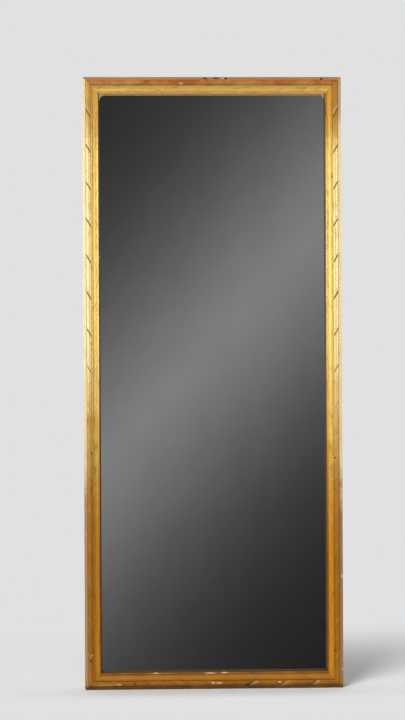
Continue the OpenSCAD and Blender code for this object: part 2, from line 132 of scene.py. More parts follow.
class GildingSettings(bpy.types.PropertyGroup):
    """Colours of the gilding and of what shows through it"""

    # Pale leaf is partly a painted highlight: the side lamps' sheen on the upper part
    pale_leaf_and_highlight: colour_property("Pale leaf", "Leaf on the upper part", srgb(244, 208, 110))
    # Deep leaf is darker partly as painted shade low down, where the lamps' light falls off
    deep_leaf_and_shade: colour_property("Deep leaf", "Leaf toned by age, low down", srgb(202, 132, 6))
    bole: colour_property("Bole", "Brown clay under the leaf", srgb(120, 60, 0))
    red_bole: colour_property("Red bole", "Redder clay of the top rail", srgb(162, 78, 0))
    # Also the colour of the painted highlights on the beads, above the ribbons and on the flat
    worn_flat_and_highlight: colour_property("Worn flat", "Thin leaf over chalk on the flat", srgb(238, 220, 178))
    gesso: colour_property("Gesso", "Chalk ground where the finish is lost", srgb(212, 176, 120))
    stain: colour_property("Stain", "Olive stains on the leaf", srgb(124, 92, 24))
    # Grime darkens the hollows, the foot and the cuts: dirt there, and partly painted shade
    grime_and_shade: colour_property("Grime", "Dirt and toning in the hollows", srgb(72, 48, 14))
    timber: colour_property("Timber", "Bare wood in the deepest losses", srgb(58, 34, 18))
    ochre: colour_property("Ochre", "Ochre wash on the outer sides", srgb(150, 112, 58))
    # Lip: toning, and partly the painted shade and reflection of the sight edge's inner side
    lip: colour_property("Lip", "Toned inner side of the sight edge", srgb(84, 54, 22))


class PlateSettings(bpy.types.PropertyGroup):
    """Colours of the plate and its backing"""

    silver: colour_property("Silver", "Silver behind clean glass", srgb(236, 237, 236))
    bloom: colour_property("Bloom", "Silver that has dulled a little", srgb(228, 229, 229))
    backing: colour_property("Backing", "Backing paint of the silvering", srgb(96, 52, 42))
    blots: colour_property("Blots", "Darker blots in the backing paint", srgb(60, 34, 30))


class BackSettings(bpy.types.PropertyGroup):
    """Colours of the wood and iron behind the plate"""

    pine: colour_property("Pine", "Aged softwood of the back", srgb(168, 122, 76))
    panel: colour_property("Panels", "Softwood of the panels", srgb(160, 116, 74))
    block: colour_property("Blocks", "Sawn softwood of the blocks and slips", srgb(190, 150, 104))
    pine_grain: colour_property("Pine grain", "Late wood of the softwood", srgb(112, 70, 38))
    oak: colour_property("Oak", "Pegs of the joints", srgb(120, 82, 46))
    oak_grain: colour_property("Oak grain", "Late wood of the pegs", srgb(70, 44, 24))
    water_stain: colour_property("Water stain", "Dark stains on the wood", srgb(58, 38, 24))
    dust: colour_property("Dust", "Dust that lies on the wood", srgb(176, 158, 134))
    iron: colour_property("Iron", "Blackened iron of the hangers", srgb(92, 88, 84))
    steel: colour_property("Steel", "Steel of the screws", srgb(150, 144, 134))
    rust: colour_property("Rust", "Rust on the iron and the screws", srgb(112, 62, 34))


class StageSettings(bpy.types.PropertyGroup):
    """The photograph's camera and backdrop"""

    camera_x: length_property("Camera across", "Camera's place across the width", -82.6)
    camera_y: length_property("Camera out", "Camera's place in front of the plate", -3015.7)
    camera_z: length_property("Camera height", "Camera's height above the floor", 913.7)
    yaw: angle_property("Yaw", "Turn of the camera about the vertical", -1.02)
    roll: angle_property("Roll", "Tilt of the camera's horizon", 0.267)
    lens: bpy.props.FloatProperty(
        name="Lens", description="Focal length in mm on a 36 mm frame", default=53.9
    )
    backdrop: colour_property("Backdrop", "Paleness of the backdrop", srgb(225, 225, 225))
    floor: colour_property("Floor", "Paleness of the lit floor", srgb(220, 220, 220))


# ---------------------------------------------------------------- materials

# Where the gilding wears, and where shade and highlights are painted on it, held on the moulding's
# own vertices
WEAR_AND_SHADING = ("crest", "hollow", "cut", "ridge_highlight", "bead", "flat", "lip", "loss", "bare", "side")

# Sockets of the mix node, which has one set of like-named ones for each kind of value
NUMBER_SOCKETS = (0, 2, 3)
COLOUR_SOCKETS = (0, 6, 7)
NUMBER_RESULT = 0
COLOUR_RESULT = 2


class Nodes:
    """Adds and joins the nodes of one material or world."""

    def __init__(self, tree):
        self.tree = tree

    def feed(self, socket, value):
        """Links a socket to another node's output, or sets it to a colour or a number."""
        if isinstance(value, bpy.types.NodeSocket):
            self.tree.links.new(value, socket)
        elif socket.type == "RGBA":
            socket.default_value = (*value[:3], 1.0)
        else:
            socket.default_value = value

    def add(self, kind, inputs=(), **settings):
        node = self.tree.nodes.new(kind)
        for name, value in settings.items():
            setattr(node, name, value)
        for name, value in dict(inputs).items():
            self.feed(node.inputs[name], value)
        return node

    def math(self, operation, *values, clamp=False):
        node = self.add("ShaderNodeMath", operation=operation, use_clamp=clamp)
        for socket, value in zip(node.inputs, values):
            self.feed(socket, value)
        return node.outputs[0]

    def step(self, value, low, high, to_low=0.0, to_high=1.0):
        """Smooth step of a value between two limits."""
        limits = {"From Min": low, "From Max": high, "To Min": to_low, "To Max": to_high}
        node = self.add(
            "ShaderNodeMapRange", {"Value": value, **limits}, interpolation_type="SMOOTHSTEP"
        )
        return node.outputs["Result"]

    def mix(self, share, first, second):
        """Mixes two colours."""
        node = self.add("ShaderNodeMix", data_type="RGBA", clamp_factor=True)
        for index, value in zip(COLOUR_SOCKETS, (share, first, second)):
            self.feed(node.inputs[index], value)
        return node.outputs[COLOUR_RESULT]

    def blend(self, share, first, second):
        """Mixes two numbers."""
        node = self.add("ShaderNodeMix", data_type="FLOAT", clamp_factor=True)
        for index, value in zip(NUMBER_SOCKETS, (share, first, second)):
            self.feed(node.inputs[index], value)
        return node.outputs[NUMBER_RESULT]

    def noise(self, place, scale, detail, roughness, distortion=0.0):
        """Cloudy noise between 0 and 1, most of it near 0.5."""
        look = {"Scale": scale, "Detail": detail, "Roughness": roughness, "Distortion": distortion}
        return self.add("ShaderNodeTexNoise", {"Vector": place, **look}).outputs["Fac"]

    def stretched(self, place, x, y, z, shift=(0.0, 0.0, 0.0)):
        """A place scaled along each axis, then shifted."""
        inputs = {"Vector": place, "Scale": (x, y, z), "Location": shift}
        return self.add("ShaderNodeMapping", inputs).outputs["Vector"]

    def attribute(self, name):
        return self.add("ShaderNodeAttribute", attribute_name=name).outputs["Fac"]

    def bump(self, height, depth, strength, under=None):
        """A normal raised by a height, on top of another normal where one is given."""
        inputs = {"Height": height, "Distance": depth, "Strength": strength}
        node = self.add("ShaderNodeBump", inputs)
        if under is not None:
            self.feed(node.inputs["Normal"], under)
        return node.outputs["Normal"]


class Finish(Nodes):
    """A material with one principled surface, read in the object's own place."""

    def __init__(self, name):
        self.material = bpy.data.materials.new(name)
        self.material.use_nodes = True
        super().__init__(self.material.node_tree)
        self.surface = self.tree.nodes["Principled BSDF"]
        self.place = self.add("ShaderNodeTexCoord").outputs["Object"]

    def set(self, **inputs):
        """Feeds the surface's sockets, named with _ for a space, and returns the material."""
        for name, value in inputs.items():
            self.feed(self.surface.inputs[name.replace("_", " ")], value)
        return self.material


# Heights between which the gilding changes: from toned leaf to pale leaf, which is partly a
# painted highlight where the side lamps shine, from pale leaf to the toned crown, darker partly as
# painted shade above that highlight, and from a clean face down to the foot, which darkens towards
# the floor with dirt and painted contact shade
TONED_TO_PALE_HIGHLIGHT = (0.56, 1.2)
HIGHLIGHT_TO_CROWN = (1.46, 1.62)
CLEAN_TO_SHADED_FOOT = (0.018, 0.003)


def gilding(name, ages_and_shade, crown, beads, hollows, outer, soil_and_shading, bole, lip_colour):
    """Worn water gilding over bole and gesso.

    ages_and_shade: how far the leaf is toned, high up and low down, darker partly as painted shade.
    crown: the least of it at the very top, where it is partly painted shade above the highlight.
    beads: how much bole shows on the beads, where the leaf is pale and where it is toned.
    hollows: how much bole shows off the beads. outer: the least of it on the toned outer flat,
    which is dark on the top rail partly as painted shade.
    soil_and_shading: how much the hollows are soiled and darkened with painted shade, where the
    leaf is pale and where it is toned.
    """
    look = bpy.context.scene.pier_gilding
    fin = Finish(name)
    run = fin.add("ShaderNodeUVMap", uv_map="run").outputs["UV"]
    crest, hollow, cut, ridge_highlight, bead, flat, lip, loss, bare, side = map(fin.attribute, WEAR_AND_SHADING)

    height = fin.add("ShaderNodeSeparateXYZ", {"Vector": fin.place}).outputs["Z"]
    patches = fin.noise(fin.place, 26.0, 4.0, 0.6)
    streaks = fin.noise(fin.stretched(run, 14.0, 420.0, 1.0), 1.0, 4.0, 0.6, 0.3)
    fine = fin.noise(fin.place, 850.0, 3.0, 0.6)
    specks = fin.noise(fin.place, 260.0, 2.0, 0.5)
    scratches = fin.noise(fin.stretched(run, 60.0, 2600.0, 1.0), 1.0, 2.0, 0.5)

    # Leaf, toned with height and pale where the side lamps' highlight falls, so partly painted
    # highlight and painted shade; thin over the bole, chalky and painted paler as a highlight on
    # the pale beads, and worn on the flat
    toning_and_shade = fin.math("ADD", height, fin.math("MULTIPLY", patches, 0.4))
    toning_and_shade = fin.step(toning_and_shade, *TONED_TO_PALE_HIGHLIGHT, ages_and_shade[1], ages_and_shade[0])
    toning_and_shade = fin.math("MAXIMUM", toning_and_shade, fin.step(height, *HIGHLIGHT_TO_CROWN, 0.0, crown))
    leaf = fin.mix(toning_and_shade, look.pale_leaf_and_highlight, look.deep_leaf_and_shade)
    thin = fin.blend(bead, hollows, fin.blend(toning_and_shade, beads[0], beads[1]))
    thin = fin.math("MULTIPLY", thin, fin.step(patches, 0.25, 0.75, 0.8, 1.2), clamp=True)
    leaf = fin.mix(thin, leaf, bole)
    # The pale beads, and the bead above each ribbon, are painted paler:
    # partly chalky wear, partly a painted highlight
    chalk_and_highlight = fin.math("MULTIPLY", fin.step(toning_and_shade, 0.0, 0.5, 0.5, 0.0), bead)
    chalk_and_highlight = fin.math("MULTIPLY", chalk_and_highlight, fin.math("SUBTRACT", 1.0, thin))
    chalk_and_highlight = fin.math("MAXIMUM", chalk_and_highlight, fin.math("MULTIPLY", ridge_highlight, 0.25))
    leaf = fin.mix(chalk_and_highlight, leaf, look.worn_flat_and_highlight)
    # The flat is pale cream high up, partly a painted highlight, and browner low down and on
    # the top rail's outer edge, partly painted shade
    worn = fin.mix(fin.step(toning_and_shade, 0.5, 1.0, outer, outer + 0.7), look.worn_flat_and_highlight, bole)
    leaf = fin.mix(fin.math("MULTIPLY", flat, fin.step(streaks, 0.3, 0.7, 0.7, 1.0)), leaf, worn)

    # Rubbing, most on the crests, and olive stains
    rub = fin.math("ADD", fin.math("MULTIPLY", crest, 0.3), fin.math("MULTIPLY", streaks, 0.6))
    rub = fin.math("ADD", rub, fin.math("MULTIPLY", patches, 0.45))
    rub = fin.math("ADD", rub, fin.math("MULTIPLY", toning_and_shade, 0.1))
    rub = fin.step(fin.math("ADD", rub, fin.math("MULTIPLY", fine, 0.2)), 0.92, 1.15)
    colour = fin.mix(fin.math("MULTIPLY", rub, fin.blend(toning_and_shade, 0.45, 0.9)), leaf, bole)
    stains = fin.noise(fin.stretched(run, 24.0, 90.0, 1.0, (3.1, 0.0, 0.0)), 1.0, 4.0, 0.6, 0.4)
    stains = fin.math("MULTIPLY", fin.step(stains, 0.5, 0.72), fin.blend(flat, 0.5, 0.2))
    colour = fin.mix(stains, colour, look.stain)

    # Dirt and painted shade in the hollows, dirt and painted contact shade on the foot towards the
    # floor, dirt and painted shade in the cuts, and freckles of bole
    dirt_and_shade = fin.math("SUBTRACT", specks, 0.5)
    dirt_and_shade = fin.math("ADD", hollow, fin.math("MULTIPLY", dirt_and_shade, 0.5))
    dirt_and_shade = fin.math("MULTIPLY", fin.step(dirt_and_shade, 0.1, 0.9), fin.blend(toning_and_shade, soil_and_shading[0], soil_and_shading[1]))
    # Darker towards the floor at the foot: dirt and painted contact shade
    foot_dirt_and_shade = fin.step(height, *CLEAN_TO_SHADED_FOOT)
    foot_dirt_and_shade = fin.math("MULTIPLY", foot_dirt_and_shade, fin.step(patches, 0.3, 0.6, 0.6, 0.95))
    dirt_and_shade = fin.math("MAXIMUM", fin.math("MAXIMUM", dirt_and_shade, foot_dirt_and_shade), fin.math("MULTIPLY", cut, 0.9))
    colour = fin.mix(dirt_and_shade, colour, look.grime_and_shade)
    freckles = fin.step(fin.math("ADD", specks, fin.math("MULTIPLY", fine, 0.45)), 0.88, 1.02)
    colour = fin.mix(fin.math("MULTIPLY", freckles, 0.6), colour, bole)

    # Washed sides; the lip along the sight edge, dark brown from toning and from painted shade and
    # reflection, and pale on the top rail from gesso and from painted light from below; and the
    # losses down to gesso and to wood
    wash = fin.math("MULTIPLY", side, fin.step(patches, 0.2, 0.8, 0.75, 1.0))
    colour = fin.mix(wash, colour, look.ochre)
    lip = fin.math("MULTIPLY", lip, fin.step(fine, 0.25, 0.6, 1.0, 0.85))
    colour = fin.mix(lip, colour, lip_colour)
    colour = fin.mix(loss, colour, look.gesso)
    colour = fin.mix(bare, colour, look.timber)

    # Only whole, clean leaf is metal, and it is smoother than the rest
    leafed = fin.math("MULTIPLY", fin.math("SUBTRACT", 1.0, rub), fin.math("SUBTRACT", 1.0, dirt_and_shade))
    for taken in (wash, lip, loss, bare, thin, fin.math("MULTIPLY", flat, 0.5)):
        leafed = fin.math("MULTIPLY", leafed, fin.math("SUBTRACT", 1.0, taken))
    roughness = fin.blend(leafed, 0.52, fin.blend(patches, 0.4, 0.5))
    roughness = fin.blend(fin.math("MAXIMUM", dirt_and_shade, lip), roughness, 0.85)

    cracks = fin.add(
        "ShaderNodeTexVoronoi",
        {"Vector": fin.stretched(run, 95.0, 34.0, 1.0), "Scale": 1.0, "Randomness": 1.0},
        feature="DISTANCE_TO_EDGE",
    ).outputs["Distance"]
    crackle = fin.step(cracks, 0.0, 0.035)
    normal = fin.bump(crackle, 0.05 * MM, 0.35)
    normal = fin.bump(streaks, 0.25 * MM, 0.5, normal)
    normal = fin.bump(scratches, 0.05 * MM, 0.5, normal)
    normal = fin.bump(fine, 0.08 * MM, 0.3, normal)
    metal = fin.math("MULTIPLY", leafed, fin.blend(toning_and_shade, 0.28, 0.15))
    return fin.set(
        Base_Color=colour, Metallic=metal, Roughness=roughness, Normal=normal, IOR=1.6,
        Specular_Tint=(1.0, 0.95, 0.6),
    )


def corner_gesso(name):
    """Gesso of the corner pieces, with the last of its leaf."""
    look = bpy.context.scene.pier_gilding
    fin = Finish(name)
    patches = fin.noise(fin.place, 180.0, 4.0, 0.6)
    fine = fin.noise(fin.place, 1100.0, 2.0, 0.6)
    colour = fin.mix(fin.step(patches, 0.5, 0.62), look.gesso, look.pale_leaf_and_highlight)
    colour = fin.mix(fin.step(fine, 0.6, 0.75, 0.0, 0.5), colour, look.grime_and_shade)
    return fin.set(Base_Color=colour, Roughness=0.66, Normal=fin.bump(fine, 0.2 * MM, 0.6))


def silvered_plate(name):
    """The plate as it is seen from the front: glass over silver, faintly uneven and dusty."""
    look = bpy.context.scene.pier_plate
    fin = Finish(name)
    waves = fin.noise(fin.place, 7.0, 2.0, 0.5)
    dust = fin.noise(fin.place, 700.0, 3.0, 0.7)
    bloom = fin.noise(fin.place, 5.0, 4.0, 0.6)
    colour = fin.mix(fin.step(bloom, 0.3, 0.8), look.silver, look.bloom)
    haze = fin.math("MULTIPLY", fin.step(dust, 0.5, 0.8), 0.02)
    roughness = fin.math("ADD", 0.012, haze)
    normal = fin.bump(waves, 1.0 * MM, 0.12)
    return fin.set(Base_Color=colour, Metallic=1.0, Roughness=roughness, Normal=normal)


def backing_paint(name):
    """Dull paint brushed up and down over the silver."""
    look = bpy.context.scene.pier_plate
    fin = Finish(name)
    brushing = fin.noise(fin.stretched(fin.place, 300.0, 300.0, 8.0), 1.0, 3.0, 0.5)
    blots = fin.noise(fin.place, 12.0, 4.0, 0.6)
    colour = fin.mix(fin.step(blots, 0.3, 0.8, 0.0, 0.6), look.backing, look.blots)
    return fin.set(Base_Color=colour, Roughness=0.55, Normal=fin.bump(brushing, 0.1 * MM, 0.6))


def wood(name, colour, grain, along, ring_scale=26.0, shift=(0.0, 0.0, 0.0)):
    """Planed softwood or oak with its grain along one axis: 0 is X, 1 is Y and 2 is Z."""
    look = bpy.context.scene.pier_back
    fin = Finish(name)
    squeeze = [1.0, 1.0, 1.0]
    squeeze[along] = 0.06
    fibre_squeeze = [1.0, 1.0, 1.0]
    fibre_squeeze[along] = 0.012
    place = fin.stretched(fin.place, *squeeze, shift=shift)
    fibres = fin.noise(fin.stretched(fin.place, *fibre_squeeze), 1400.0, 3.0, 0.6)
    wander = fin.noise(place, 5.0, 3.0, 0.5)
    rings = fin.math("MULTIPLY", fin.noise(place, 6.5, 1.0, 0.4, 0.6), ring_scale)
    rings = fin.math("PINGPONG", rings, 1.0)
    late = fin.step(rings, 0.35, 0.95)
    tone = fin.mix(fin.math("MULTIPLY", late, 0.62), colour, grain)
    tone = fin.mix(fin.step(wander, 0.3, 0.8, 0.0, 0.35), tone, grain)
    tone = fin.mix(fin.step(fibres, 0.45, 0.8, 0.0, 0.3), tone, grain)
    stains = fin.noise(fin.place, 9.0, 5.0, 0.65)
    tone = fin.mix(fin.step(stains, 0.55, 0.8, 0.0, 0.45), tone, look.water_stain)
    dust = fin.noise(fin.place, 60.0, 4.0, 0.7)
    tone = fin.mix(fin.step(dust, 0.55, 0.85, 0.0, 0.25), tone, look.dust)
    normal = fin.bump(late, 0.12 * MM, 0.5)
    normal = fin.bump(fibres, 0.15 * MM, 0.6, normal)
    return fin.set(Base_Color=tone, Roughness=0.68, Normal=normal)


def old_iron(name, colour, shine):
    """Blackened iron or steel with rust in its pits."""
    look = bpy.context.scene.pier_back
    fin = Finish(name)
    pits = fin.noise(fin.place, 420.0, 5.0, 0.65)
    wear = fin.noise(fin.place, 90.0, 3.0, 0.6)
    rust = fin.step(fin.math("ADD", pits, fin.math("MULTIPLY", wear, 0.5)), 0.78, 0.95)
    tone = fin.mix(rust, colour, look.rust)
    return fin.set(
        Base_Color=tone, Metallic=fin.blend(rust, 0.95, 0.1),
        Roughness=fin.blend(rust, 1.0 - shine, 0.85), Normal=fin.bump(pits, 0.12 * MM, 0.5),
    )


def dress(node, material):
    """Gives a CAD node its material."""
    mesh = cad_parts[node].data
    mesh.materials.clear()
    mesh.materials.append(material)


# ---------------------------------------------------------------- the moulding


def deselect():
    if bpy.context.mode != "OBJECT":
        bpy.ops.object.mode_set(mode="OBJECT")
    bpy.ops.object.select_all(action="DESELECT")


def arc(centre, radius, start, stop, steps):
    """Points of an arc, its angles in degrees from the section's u axis."""
    turn = np.radians(np.linspace(start, stop, steps + 1))
    return [(centre[0] + radius * math.cos(a), centre[1] + radius * math.sin(a)) for a in turn]


def line(start, stop, steps):
    """Points of a straight stretch, without its first."""
    run = (stop[0] - start[0], stop[1] - start[1])
    return [
        (start[0] + run[0] * i / steps, start[1] + run[1] * i / steps) for i in range(1, steps + 1)
    ]


def moulding_section(size):
    """The section as points (u, v): u from the outer edge to the sight edge, v from the back plane
    forward. Returns the points, how many of them, from the first, belong to the finished face, and
    the place of the bead's middle and of the quirk's floor."""
    depth = BACK_Y - CROWN_Y
    flat_v = depth - size.flat_drop
    quirk_v = depth - size.quirk_drop
    bead_u = size.flat_w + size.bead_w / 2
    bead_end = size.flat_w + size.bead_w
    edge_v = depth - size.bead_rise
    round_r = (size.bead_w**2 / 4 + size.bead_rise**2) / (2 * size.bead_rise)
    half_turn = math.degrees(math.asin(size.bead_w / 2 / round_r))
    land_u = bead_end + size.quirk_w
    cove_from = (land_u + size.land_w, depth - size.cove_drop)
    sight_u = FACE_W - size.sight_bead_r
    sight_v = depth - size.sight_drop - size.sight_bead_r
    toe = 0.75 * MM
    cove_to = (FACE_W - 2 * size.sight_bead_r, sight_v + toe)
    run = (cove_to[0] - cove_from[0], cove_to[1] - cove_from[1])
    chord = math.hypot(*run)
    cove_r = (chord**2 / 4 + size.cove_hollow**2) / (2 * size.cove_hollow)
    middle = ((cove_from[0] + cove_to[0]) / 2, (cove_from[1] + cove_to[1]) / 2)
    rise = (cove_r - size.cove_hollow) / chord
    cove_centre = (middle[0] - run[1] * rise, middle[1] + run[0] * rise)
    cove_start, cove_stop = (
        math.degrees(math.atan2(end[1] - cove_centre[1], end[0] - cove_centre[0]))
        for end in (cove_from, cove_to)
    )
    toe_angle = 180 - math.degrees(math.asin(toe / size.sight_bead_r))
    plate_v = BACK_Y - PLATE_Y
    shelf_v = BACK_Y - SHELF_Y
    soft = size.arris_r
    small = soft / 2

    points = [(0.0, 0.0)] + line((0.0, 0.0), (0.0, flat_v - soft), 8)
    points += arc((soft, flat_v - soft), soft, 180, 90, 4)[1:]
    points += line((soft, flat_v), (size.flat_w - small, flat_v), 5)
    points += arc((size.flat_w - small, flat_v - small), small, 90, 0, 3)[1:]
    points += line((size.flat_w, flat_v - small), (size.flat_w, edge_v), 1)
    points += arc((bead_u, depth - round_r), round_r, 90 + half_turn, 90 - half_turn, 24)[1:]
    points += line((bead_end, edge_v), (bead_end, quirk_v), 2)
    points += line((bead_end, quirk_v), (land_u, quirk_v), 3)
    points += line((land_u, quirk_v), (land_u, cove_from[1]), 2)
    points += line((land_u, cove_from[1]), cove_from, 1)
    points += arc(cove_centre, cove_r, cove_start, cove_stop, 13)[1:]
    points += arc((sight_u, sight_v), size.sight_bead_r, toe_angle, 0, 11)
    points += line((FACE_W, sight_v), (FACE_W, plate_v), 3)
    face_count = len(points)
    rebate_u = FACE_W - size.glass_rebate_w
    points += [(rebate_u, plate_v), (rebate_u, shelf_v), (FOOT_W, shelf_v)]
    points += [(FOOT_W, 0.0), (FOOT_W / 2, 0.0)]
    return np.array(points), face_count, bead_u, quirk_v


def section_normals(points):
    """Outward normals of the closed section, which runs clockwise."""
    ahead = np.roll(points, -1, axis=0) - points
    behind = points - np.roll(points, 1, axis=0)
    ahead /= np.linalg.norm(ahead, axis=1)[:, None]
    behind /= np.linalg.norm(behind, axis=1)[:, None]
    tangent = ahead + behind
    tangent /= np.linalg.norm(tangent, axis=1)[:, None]
    return np.stack([-tangent[:, 1], tangent[:, 0]], axis=1)


def relief(points, reach):
    """How far each point stands out of its surroundings, or lies in them where it is below 0, and
    each point's place round the section."""
    steps = np.linalg.norm(np.roll(points, -1, axis=0) - points, axis=1)
    place = np.concatenate([[0.0], np.cumsum(steps)])
    total = place[-1]
    place = place[:-1]
    apart = np.abs(place[:, None] - place[None, :])
    apart = np.minimum(apart, total - apart)
    share = (steps + np.roll(steps, 1)) / 2
    weight = np.exp(-((apart / reach) ** 2)) * share[None, :]
    mean = weight @ points / weight.sum(axis=1)[:, None]
    return ((points - mean) * section_normals(points)).sum(axis=1), place


def smooth(value, low, high):
    """Smooth step of an array between two limits."""
    t = np.clip((value - low) / (high - low), 0.0, 1.0)
    return t * t * (3 - 2 * t)


def ring_places(length, features):
    """Places of the rings of vertices along a member: close together at its features, which are
    given as place, reach and ring spacing, and wider apart away from them."""
    growth = 0.16
    widest = 5 * MM
    places = [0.0]
    while places[-1] < length:
        near = min(abs(places[-1] - at) - reach for at, reach, _ in features)
        closest = min(features, key=lambda f: abs(places[-1] - f[0]) - f[1])
        places.append(places[-1] + min(closest[2] + growth * max(0.0, near), widest))
    return np.array(places) * length / places[-1]


def ripple(rng, along, across, wave, count=7):
    """Soft unevenness, mostly between -1 and 1, as a sum of waves of about one length."""
    total = 0.0
    for _ in range(count):
        length = wave * rng.uniform(0.5, 2.2)
        turns = along / length + across * rng.uniform(-60, 60)
        total = total + np.sin(2 * math.pi * turns + rng.uniform(0, 2 * math.pi))
    return total / math.sqrt(count) / 1.6


def wrap_grid(name, rings, count):
    """A grid with one row of vertices for each ring, and each vertex's ring and column in it."""
    deselect()
    bpy.ops.mesh.primitive_grid_add(
        x_subdivisions=rings - 1, y_subdivisions=count, size=1.0, calc_uvs=True
    )
    piece = bpy.context.object
    piece.name = name
    piece.data.name = name
    flat = np.zeros(len(piece.data.vertices) * 3)
    piece.data.vertices.foreach_get("co", flat)
    flat = flat.reshape(-1, 3)
    ring = np.rint((flat[:, 0] + 0.5) * (rings - 1)).astype(int)
    column = np.rint((flat[:, 1] + 0.5) * count).astype(int)
    return piece, ring, column


def worn_corners(x, z, radius):
    """Rounds the two lower outer corners of the frame."""
    for edge, sign in ((LEFT, 1.0), (RIGHT, -1.0)):
        inside = (x - edge) * sign
        far_x = np.maximum(radius - inside, 0.0)
        far_z = np.maximum(radius - z, 0.0)
        reach = np.hypot(far_x, far_z)
        proud = (far_x > 0) & (far_z > 0) & (reach > radius)
        pull = np.where(proud, radius / np.maximum(reach, 1e-9), 1.0)
        x = np.where(pull < 1, edge + sign * (radius - far_x * pull), x)
        z = np.where(pull < 1, radius - far_z * pull, z)
    return x, z


def map_run(mesh, along, round_places):
    """Sets the map in metres: along the member, and round its section."""
    corner_vertex = np.zeros(len(mesh.loops), int)
    mesh.loops.foreach_get("vertex_index", corner_vertex)
    layer = mesh.uv_layers[0]
    layer.name = "run"
    drawn = np.zeros(len(mesh.loops) * 2)
    layer.data.foreach_get("uv", drawn)
    columns = drawn.reshape(-1, 2)[:, 1] * (len(round_places) - 1)
    round_place = np.interp(columns, np.arange(len(round_places)), round_places)
    mapped = np.stack([along[corner_vertex], round_place], axis=1)
    layer.data.foreach_set("uv", mapped.astype(np.float32).ravel())


def close_shell():
    """Joins the wrapped grid's long edges and closes its two ends."""
    bpy.ops.object.mode_set(mode="EDIT")
    bpy.ops.mesh.select_all(action="SELECT")
    bpy.ops.mesh.remove_doubles(threshold=0.01 * MM)
    bpy.ops.mesh.fill_holes(sides=0)
    bpy.ops.mesh.select_all(action="SELECT")
    bpy.ops.mesh.normals_make_consistent(inside=False)
    bpy.ops.object.mode_set(mode="OBJECT")
    bpy.ops.object.shade_smooth_by_angle(angle=math.radians(40))


# Losses of the finish: place along the member, place across it, half length, half width and depth,
# all in mm, and kind. Along is measured upwards on a stile and to the right on a rail, and across
# from the outer edge.
LOSSES = {
    "left_stile": [
        (82, 17, 4, 2.5, 0.6, "bare"), (96, 20, 2.5, 2, 0.5, "loss"), (560, 19, 3, 2, 0.5, "bare"),
        (655, 22, 4, 1.6, 0.5, "bare"), (1200, 44, 5, 1.5, 0.4, "loss"),
        (1010, 4, 3, 2, 0.3, "loss"),
    ],
    "right_stile": [
        (1422, 26, 3, 2, 0.6, "bare"), (640, 20, 3, 2, 0.6, "bare"), (310, 3, 5, 2, 0.4, "loss"),
        (104, 21, 4, 2, 0.6, "bare"), (52, 3, 4, 2, 0.5, "loss"),
        (1310, 15, 2.5, 1.6, 0.4, "bare"),
    ],
    "top_rail": [
        (271, 18, 5, 2.2, 0.5, "loss"), (341, 4, 6, 3, 1.0, "bare"), (372, 3, 9, 3, 1.3, "bare"),
        (398, 4, 5, 3, 0.9, "bare"), (391, 5, 2.5, 2, 0.5, "loss"), (663, 5, 4, 4, 0.9, "bare"),
        (702, 19, 4, 3, 0.5, "loss"),
    ],
    "bottom_rail": [
        (58, 14, 34, 0.9, 0.3, "loss"), (94, 15, 9, 1.6, 0.4, "loss"),
        (140, 16, 3, 3, 0.8, "bare"), (355, 18, 5, 2.5, 0.6, "loss"),
        (372, 17, 9, 2, 0.6, "loss"), (346, 42, 16, 2, 0.6, "loss"),
        (387, 43, 10, 1.8, 0.6, "loss"), (452, 11, 6, 4, 0.9, "bare"),
        (466, 43, 5, 2, 0.7, "bare"), (540, 18, 5, 2, 0.4, "loss"),
        (620, 12, 5, 2, 0.5, "bare"), (196, 43, 8, 1.6, 0.4, "loss"),
    ],
}


